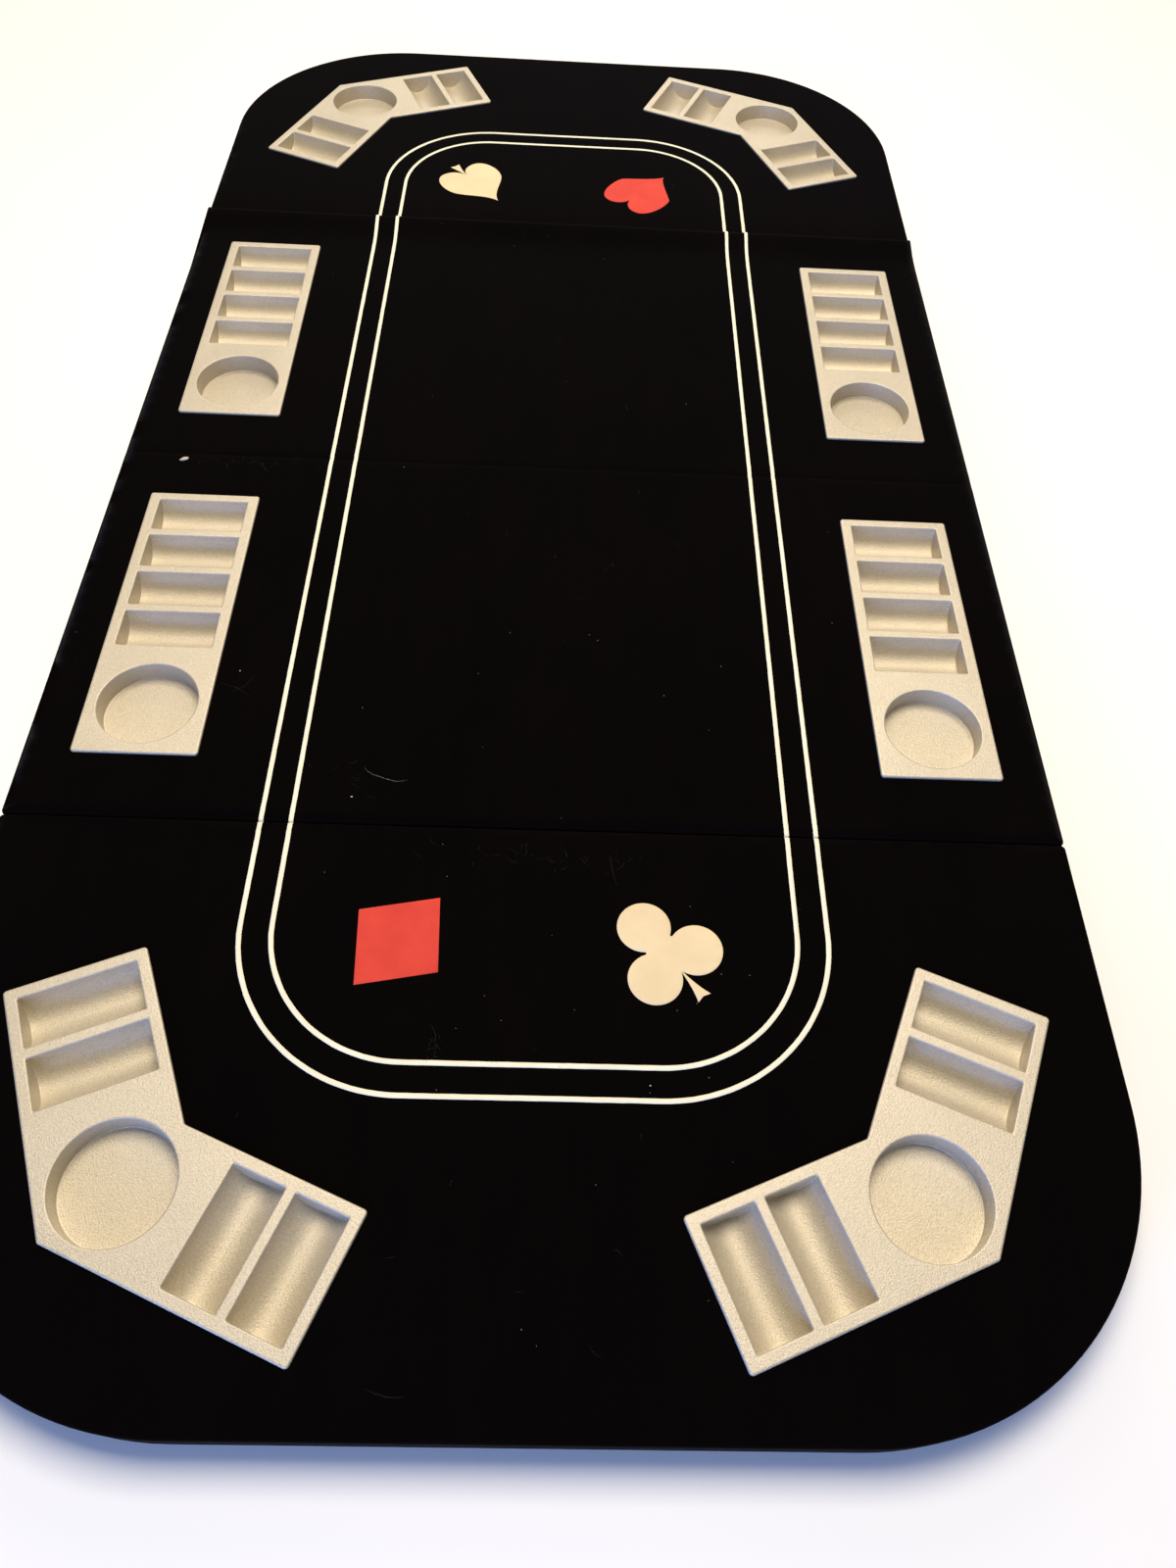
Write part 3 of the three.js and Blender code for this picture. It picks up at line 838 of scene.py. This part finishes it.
def add_stripes():
    """Two racetrack lines, cut at the outer folds and unbroken over the middle one."""
    edge = FAR_FOLD_Y - FOLD_GAP / 2 + FELT_PROUD - FELT_ROLL
    end_edge = FAR_FOLD_Y + FOLD_GAP / 2 - FELT_PROUD + FELT_ROLL
    tail = FELT_ROLL * math.pi / 2 + 5 * MM
    beyond = 10.0
    zones = (
        ("near_end", -beyond, -end_edge, "near_end_panel"),
        ("middle", -edge, edge, None),
        ("far_end", end_edge, beyond, "far_end_panel"),
    )
    for label, half_width, half_length, radius in STRIPES:
        line = rounded_loop(rectangle(half_width, half_length), [radius] * 4, 6 * MM, 24)
        points, normals = refine_at(*line, (-end_edge, -edge, 0.0, edge, end_edge))
        for zone, low, high, body in zones:
            for run in runs([low - tail <= p.y <= high + tail for p in points]):
                build = stripe_strip([points[i] for i in run], [normals[i] for i in run], low, high)
                side = "" if body else "_left" if points[run[0]].x < 0 else "_right"
                piece = build.piece(f"{zone}_{label}_stripe{side}", IVORY, body)
                if body is None:
                    bend(piece)


def refine_at(points, normals, levels):
    """Adds points on the straight runs close to each level, so that rolls and bends are smooth."""
    offsets = [side * k * MM for k in (0, 0.8, 1.6, 2.4, 3.2, 4, 5, 7, 9) for side in (-1, 1)]
    wanted = sorted({round(level + o, 6) for level in levels for o in offsets})
    out_points, out_normals = [], []
    count = len(points)
    for i in range(count):
        a, b = points[i], points[(i + 1) % count]
        out_points.append(a)
        out_normals.append(normals[i])
        if abs(a.x - b.x) < 1e-6 and abs(a.y - b.y) > 1e-6:
            low, high = sorted((a.y, b.y))
            between = [w for w in wanted if low + 1e-5 < w < high - 1e-5]
            if a.y > b.y:
                between.reverse()
            for w in between:
                out_points.append(Vector((a.x, w)))
                out_normals.append(normals[i])
    return out_points, out_normals


def arc(centre, radius, start, end, segments):
    x, y = centre
    angles = (math.radians(start + (end - start) * k / segments) for k in range(segments + 1))
    return [(x + radius * math.cos(a), y + radius * math.sin(a)) for a in angles]


def bezier(a, b, c, d, segments):
    points = []
    for k in range(1, segments + 1):
        t = k / segments
        u = 1 - t
        points.append(tuple(u ** 3 * p + 3 * u * u * t * q + 3 * u * t * t * r + t ** 3 * s
                            for p, q, r, s in zip(a, b, c, d)))
    return points


def mirrored(right_half):
    """Closes an outline from its right half, listed from the bottom of the axis to the top."""
    left = [(-x, y) for x, y in reversed(right_half) if x > 1e-9]
    return list(right_half) + left


def diamond_outline():
    """Upright rhombus, in millimetres about its middle."""
    return [(0, -50), (43.6, 0), (0, 50), (-43.6, 0)]


def club_outline():
    """Three discs that touch each other, and a small flared stem that faces -Y."""
    radius, spread, low, high, notch = 22.2, 21.3, -13.6, 27.2, 7
    towards = math.degrees(math.atan2(high - low, spread))
    right = [(0, -47.6), (6.4, -49.4)]
    right += bezier((6.4, -49.4), (3.6, -42), (1.4, -33), (0.4, -20.5), 6)
    right += arc((spread, low), radius, 198, 540 - towards - notch, 44)
    right += arc((0, high), radius, notch - towards, 90, 26)
    return mirrored(right)


def heart_outline():
    """Heart with its point at -Y; the sides run hollow into the point."""
    right = [(0, -48)]
    right += bezier((0, -48), (3, -36), (28, -18), (40, -6), 14)
    right += bezier((40, -6), (46, 6), (44, 48), (21, 48), 18)
    right += bezier((21, 48), (10, 48), (1.5, 40), (0, 29), 10)
    return mirrored(right)


def spade_outline():
    """Spade with its point at +Y, hollow sides and a flared stem at -Y."""
    right = [(0, -51), (7, -52)]
    right += bezier((7, -52), (4, -44), (1.6, -34), (0.5, -24), 6)
    right += bezier((0.5, -24), (3, -36), (12, -42), (23, -42), 8)
    right += bezier((23, -42), (43, -42), (48, -10), (37, 6), 16)
    right += bezier((37, 6), (27, 20), (5, 32), (0, 51), 14)
    return mirrored(right)


def add_suit(name, outline, x, y, turn, finish, body):
    """A flat print with a low rounded edge, on the felt's relief."""
    loop = placed([(px * MM, py * MM) for px, py in outline], x, y, turn)
    clean = [p for i, p in enumerate(loop) if (p - loop[i - 1]).length > 0.05 * MM]
    build = Builder()
    inner = []
    count, pitch = len(clean), 5
    for i, p in enumerate(clean):
        direction = (clean[(i + 1) % count] - clean[i - 1]).normalized()
        inner.append(p - Vector((direction.y, -direction.x)) * 0.3 * MM)
    foot = [Vector((p.x, p.y, felt_z(p.x, p.y) + PRINT_FOOT)) for p in clean]
    crown = [Vector((p.x, p.y, felt_z(p.x, p.y) + PRINT_RAISE)) for p in inner]
    build.rings([crown, foot])
    columns, rows = (range(int(min(v) / MM / pitch), int(max(v) / MM / pitch) + 1) for v in zip(*clean))
    cloud = [(i * pitch * MM, j * pitch * MM) for i in columns for j in rows]
    build.fill([c.xy for c in crown], [], lambda px, py: felt_z(px, py) + PRINT_RAISE, cloud)
    build.piece(name, finish, body, 1e-6)


def add_suits():
    """Each suit turns its foot or point to the nearest corner tray."""
    suits = (
        ("diamond_print", diamond_outline(), (-111.3, -565.4), -SUIT_TURN, RED),
        ("club_print", club_outline(), (104.3, -569.4), SUIT_TURN, CREAM),
        ("heart_print", heart_outline(), (107, 558), math.pi - SUIT_TURN, RED),
        ("spade_print", spade_outline(), (-118.8, 558.7), math.pi + SUIT_TURN, CREAM),
    )
    for name, outline, (x, y), turn, finish in suits:
        body = "near_end_panel" if y < 0 else "far_end_panel"
        add_suit(name, outline, x * MM, y * MM, turn, finish, body)


# Hardware underneath

def add_disc_head(build, x, y, z, radius, rise, turn):
    """A domed screw head that faces down, with a cross recess."""
    arm, reach, deep = 0.16 * radius, 0.56 * radius, 0.55 * rise
    cross = [(reach, -arm), (reach, arm), (arm, arm)]
    for _ in range(3):
        cross += [(-v, u) for u, v in cross[-3:]]
    hole = placed(cross, x, y, turn)
    level, crown = radius * 0.72, z - rise
    build.fill(circle(x, y, level, HEAD_SIDES), [hole], lambda px, py: crown, turned=True)
    profile = [(level, crown), (radius * 0.9, z - 0.72 * rise), (radius, z - 0.3 * rise), (radius, z)]
    build.rings(lathe(profile, HEAD_SIDES, x, y), outward=False)
    back = build.add(lathe([(radius, z)], HEAD_SIDES, x, y)[0])
    build.faces.append(tuple(back))
    top = build.add([(p.x, p.y, crown) for p in hole])
    bottom = build.add([(p.x, p.y, crown + deep) for p in hole])
    build.strip(top, bottom, outward=False)
    build.faces.append(tuple(reversed(bottom)))


def add_hinge_screws():
    """Three countersunk screws on each hinge leaf."""
    draw = random.Random(3)
    for name in [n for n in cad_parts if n.endswith("_leaf")]:
        low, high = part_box(name)
        end = name.split("_")[0]
        along = dict(ENDS)[end]
        body = f"{end}_{'middle' if 'middle_leaf' in name else 'end'}_panel"
        y = (low.y + high.y) / 2
        outward = along if y * along > FAR_FOLD_Y else -along
        build = Builder()
        for share in (-0.36, 0.0, 0.36):
            x = (low.x + high.x) / 2 + share * (high.x - low.x)
            add_disc_head(build, x, y + outward * 3.4 * MM, high.z - LEAF_THICKNESS, 3.2 * MM, 0.7 * MM,
                          draw.uniform(0, math.pi))
        build.piece(f"{name}_screws", STEEL, body, FINE_WELD, smooth=False)


def add_feet():
    """Moulded rubber feet with a rounded edge and a screw in a recess."""
    draw = random.Random(9)
    for name in [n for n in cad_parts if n.endswith("_foot")]:
        low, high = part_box(name)
        x, y = (low.x + high.x) / 2, (low.y + high.y) / 2
        radius, height = (high.x - low.x) / 2, high.z - low.z
        body = f"{'_'.join(name.split('_')[:2])}_panel"
        soft = 1.4 * MM
        profile = [(0.3 * radius, 2.6 * MM), (0.40 * radius, 2.6 * MM), (0.46 * radius, 0.5 * MM),
                   (0.50 * radius, 0.1 * MM), (0.56 * radius, 0.0), (radius * 0.93 - soft, 0.0)]
        profile += [(radius * 0.93 - soft * out, soft * down) for out, down in quarter(5, first=1)]
        profile += [(radius * 0.97, height * 0.7), (radius, height * 0.9), (radius, height),
                    (0.3 * radius, height)]
        build = Builder()
        ids = build.rings(lathe([(r, low.z + z) for r, z in profile], 40, x, y), outward=False)
        build.strip(ids[-1], ids[0], outward=False)
        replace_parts(build.piece(f"{name}_moulding", RUBBER, body, FINE_WELD), name)
        build = Builder()
        add_disc_head(build, x, y, low.z + 3.4 * MM, 3.0 * MM, 1.1 * MM, draw.uniform(0, math.pi))
        build.piece(f"{name}_screw", STEEL, body, FINE_WELD, smooth=False)


def staple(build, x, y, z, angle):
    """One wire staple driven upwards: its crown lies on the hem."""
    along = Vector((math.cos(angle), math.sin(angle), 0))
    across = Vector((-along.y, along.x, 0))
    up = Vector((0, 0, 1))
    half, wire, knee = 5 * MM, 0.35 * MM, 0.9 * MM
    path = [(-half, knee + 0.6 * MM), (-half, knee), (-half + 0.26 * knee, 0.26 * knee), (-half + knee, 0)]
    path += [(-u, w) for u, w in reversed(path)]
    base = Vector((x, y, z - wire))
    rings = []
    for i, (u, w) in enumerate(path):
        u0, w0 = path[max(i - 1, 0)]
        u1, w1 = path[min(i + 1, len(path) - 1)]
        tangent = (along * (u1 - u0) + up * (w1 - w0)).normalized()
        side = across.cross(tangent)
        centre = base + along * u + up * w
        rings.append([centre + across * wire * math.cos(a) + side * wire * math.sin(a)
                      for a in (math.pi / 4 + math.pi / 2 * k for k in range(4))])
    ids = build.rings(rings, outward=False)
    build.faces += [tuple(ids[0]), tuple(reversed(ids[-1]))]


def staple_places(panel, along):
    """Each staple's place and angle, about every 75 mm along a panel's outer edges."""
    pitch, inset, clear, centre_y = 75 * MM, 6 * MM, 20 * MM, HALF_LENGTH - CORNER_RADIUS
    start, stop = (clear, FAR_FOLD_Y - clear) if panel == "middle" else (FAR_FOLD_Y + clear, centre_y)
    count = round((stop - start) / pitch)
    reach = HALF_WIDTH - CORNER_RADIUS
    for side in (-1, 1):
        for k in range(count + 1):
            yield side * (HALF_WIDTH - inset), along * (start + (stop - start) * k / count), math.pi / 2
        if panel == "end":
            for k in range(1, 5):
                angle = math.pi / 2 * k / 5
                spoke = Vector((side * math.cos(angle), along * math.sin(angle)))
                p = Vector((side * reach, along * centre_y)) + spoke * (CORNER_RADIUS - inset)
                yield p.x, p.y, math.atan2(spoke.y, spoke.x) + math.pi / 2
    if panel == "end":
        for k in range(7):
            yield -reach + 2 * reach * k / 6, along * (HALF_LENGTH - inset), 0


def add_staples():
    """Staples through the felt's hem, a little askew."""
    draw = random.Random(21)
    for end, along in ENDS:
        for panel in ("middle", "end"):
            build = Builder()
            for x, y, angle in staple_places(panel, along):
                staple(build, x, y, HEM_Z, angle + draw.uniform(-0.12, 0.12))
            build.piece(f"{end}_{panel}_staples", STEEL, f"{end}_{panel}_panel", FINE_WELD, smooth=False)


def add_hinge_tape():
    """One cloth tape, glued over the middle fold under the felt."""
    low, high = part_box("near_hinge_tape")
    reach = -low.y
    rows = (-27.9, -20, -12, -6, -3, -2, -1.5, -1, -0.5, 0, 0.5, 1, 1.5, 2, 3, 6, 12, 20, 27.9)
    rows = [max(-reach, min(reach, k * MM)) for k in rows]
    columns = 40
    xs = [low.x + (high.x - low.x) * k / columns for k in range(columns + 1)]
    build = Builder()
    build.rings([[Vector((x, y, high.z)) for x in xs] for y in rows], closed=False, outward=False)
    piece = build.piece("middle_hinge_tape", TAPE)
    shell(piece, high.z - low.z)
    bend(piece)
    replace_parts(piece, "near_hinge_tape", "far_hinge_tape")


def soften_frame_edges():
    """Small rounded edges on the boards' rails and on the steel, as a modifier over the CAD mesh."""
    for name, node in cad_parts.items():
        width = 1.2 * MM if "rail" in name else 0.25 * MM if "leaf" in name else 0
        if width:
            modifier = node.modifiers.new("edge", "BEVEL")
            modifier.width = width
            modifier.segments = 3
            modifier.limit_method = "ANGLE"
            modifier.angle_limit = math.radians(40)


# Lint

def body_at(y):
    """The panel that a point of the felt lies on."""
    edges = ((NEAR_FOLD_Y, "near_end"), (0, "near_middle"), (FAR_FOLD_Y, "far_middle"),
             (HALF_LENGTH, "far_end"))
    return next(panel for edge, panel in edges if y < edge) + "_panel"


def clear_of_folds(y):
    return min(abs(y), abs(y - NEAR_FOLD_Y), abs(y - FAR_FOLD_Y)) > 6 * MM


def hair(build, start, heading, length, curl, draw, radius=0.11 * MM):
    """A fine thread that lies on the nap and wanders."""
    steps = max(6, round(length / (2.5 * MM)))
    point, angle = Vector(start), heading
    rings = []
    for k in range(steps + 1):
        share = k / steps
        fine = radius * (1 - 0.6 * abs(2 * share - 1))
        across = Vector((-math.sin(angle), math.cos(angle)))
        z = felt_z(point.x, point.y) + radius + 0.25 * MM * math.sin(math.pi * share)
        ring = []
        for a in (2 * math.pi * j / 4 for j in range(4)):
            x, y = (p + side * fine * math.cos(a) for p, side in zip(point, across))
            ring.append(Vector((x, y, z + fine * math.sin(a))))
        rings.append(ring)
        angle += curl * length / steps + draw.uniform(-0.16, 0.16)
        point = point + Vector((math.cos(angle), math.sin(angle))) * length / steps
    ids = build.rings(rings)
    build.faces += [tuple(reversed(ids[0])), tuple(ids[-1])]


def crumb(build, x, y, size, draw, stretch=1.0):
    """An irregular little lump: a small ball with its points pushed about."""
    mesh = bmesh.new()
    bmesh.ops.create_icosphere(mesh, subdivisions=2, radius=size)
    turn = Matrix.Rotation(draw.uniform(0, math.pi), 3, "Z")
    seed = Vector((draw.uniform(-9, 9), draw.uniform(-9, 9), 0))
    base = len(build.verts)
    for v in mesh.verts:
        push = 1 + 0.45 * noise.noise(v.co / size * 1.3 + seed)
        p = turn @ Vector((v.co.x * push * stretch, v.co.y * push, v.co.z * push * 0.55))
        build.verts.append((x + p.x, y + p.y, felt_z(x, y) + 0.3 * size + p.z))
    mesh.verts.index_update()
    build.faces += [tuple(base + v.index for v in f.verts) for f in mesh.faces]
    mesh.free()


def add_lint():
    """Threads, dust and one crumb, where handling leaves them: by the folds and round the prints."""
    draw = random.Random(17)
    builds = {}

    def on(kind, y):
        return builds.setdefault((body_at(y), kind), Builder())

    hair(on("lint", -0.4), (-158 * MM, -398 * MM), -1.1, 44 * MM, 26, draw, 0.09 * MM)
    threads = (
        ((-290, -320), 0.1, 30, 30), ((-300, -310), -0.3, 34, -18), ((-75, -650), 1.3, 16, 60),
        ((-100, -885), -0.4, 26, 20), ((60, -480), -1.4, 30, 14), ((65, -495), 0.2, 12, 80),
        ((-25, 590), 0.4, 14, 40), ((-280, -10), 0.5, 16, 50),
    )
    for (x, y), heading, length, curl in threads:
        hair(on("fibre", y * MM), (x * MM, y * MM), heading, length * MM, curl, draw)
    tufts = (
        ((10, -485), 85, 12, 30), ((-75, -655), 9, 9, 9), ((-320, -12), 70, 9, 22),
        ((300, 300), 90, 90, 6), ((-180, -420), 60, 30, 8), ((60, -760), 200, 90, 10),
        ((-20, -120), 150, 140, 8),
    )
    for (x, y), wide, deep, count in tufts:
        for _ in range(count):
            px, py = draw.gauss(x, wide / 2) * MM, draw.gauss(y, deep / 2) * MM
            if clear_of_folds(py):
                hair(on("fibre", py), (px, py), draw.uniform(0, 2 * math.pi), draw.uniform(3, 11) * MM,
                     draw.uniform(-120, 120), draw, 0.08 * MM)
    for _ in range(60):
        x, y = draw.uniform(-190, 190) * MM, draw.uniform(-880, 640) * MM
        if clear_of_folds(y):
            crumb(on("lint", y), x, y, draw.uniform(0.10, 0.24) * MM, draw, 1.5)
    for x, y, size, stretch in ((-165, -430, 0.7, 1.3), (90, -680, 0.55, 1.3), (-285, -295, 0.5, 1.3),
                                (-394, -10.5, 2.4, 2.0)):
        crumb(on("lint", y * MM), x * MM, y * MM, size * MM, draw, stretch)
    for (body, kind), build in builds.items():
        build.piece(f"{body.replace('_panel', '')}_{kind}", LINT if kind == "lint" else FIBRE, body)


# Studio

def add_camera():
    """Hand-held view from the near end, looking down the length."""
    pitch, yaw, roll = (math.radians(a) for a in (-56.54, 3.316, -4.558))
    forward = Vector((math.sin(yaw) * math.cos(pitch), math.cos(yaw) * math.cos(pitch), math.sin(pitch)))
    right = Vector((math.cos(yaw), -math.sin(yaw), 0))
    down = forward.cross(right)
    right, down = (math.cos(roll) * right + math.sin(roll) * down,
                   -math.sin(roll) * right + math.cos(roll) * down)
    data = bpy.data.cameras.new("camera")
    data.sensor_width = 36
    data.lens = 25.91
    camera = bpy.data.objects.new("camera", data)
    basis = Matrix((right, -down, -forward)).transposed().to_4x4()
    camera.matrix_world = Matrix.Translation((0.0087, -0.9591, 0.8337 + FELT_TOP)) @ basis
    bpy.context.scene.collection.objects.link(camera)
    bpy.context.scene.camera = camera


def add_light(name, place, target, size, energy, colour, spread=math.pi):
    """A square soft box that looks at a point."""
    data = bpy.data.lights.new(name, "AREA")
    data.spread = spread
    data.size = size
    data.energy = energy
    data.color = colour
    light = bpy.data.objects.new(name, data)
    light.location = place
    light.rotation_euler = (Vector(target) - Vector(place)).to_track_quat("-Z", "Y").to_euler()
    bpy.context.scene.collection.objects.link(light)


def add_studio():
    """Warm light from above and past the far end, cool light low from the near side, a pale floor."""
    add_light("ceiling", (0.1, 0.6, 3.1), (0, 0, 0), 1.9, 126, (1.0, 0.895, 0.73))
    add_light("doorway", (0.0, 4.2, 2.3), (0, 0.2, 0), 2.4, 54, (1.0, 0.93, 0.84))
    add_light("window", (-1.7, -2.9, 0.62), (0.3, -1.05, 0), 1.0, 9, (0.11, 0.32, 1.0), math.radians(64))
    add_light("sky", (-0.3, -3.4, 0.70), (0, -0.3, 0), 1.3, 8, (0.50, 0.62, 1.0), math.radians(70))
    world = bpy.data.worlds.new("studio")
    world.use_nodes = True
    background = world.node_tree.nodes["Background"]
    background.inputs["Color"].default_value = (0.96, 0.97, 1.0, 1)
    background.inputs["Strength"].default_value = 0.13
    bpy.context.scene.world = world
    bpy.context.scene.view_settings.view_transform = "Standard"
    reach = 7.0
    corners = [(x, y, 0) for x, y in rectangle(reach, reach)]
    floor = new_piece("floor", corners, [(0, 1, 2, 3)], floor_finish())


add_camera()
paint_frame_nodes()
add_trays()
for panel_end, way in ENDS:
    end_felt(panel_end, way)
middle_felt()
add_stripes()
add_suits()
add_hinge_tape()
add_hinge_screws()
add_feet()
add_staples()
soften_frame_edges()
add_lint()
add_studio()
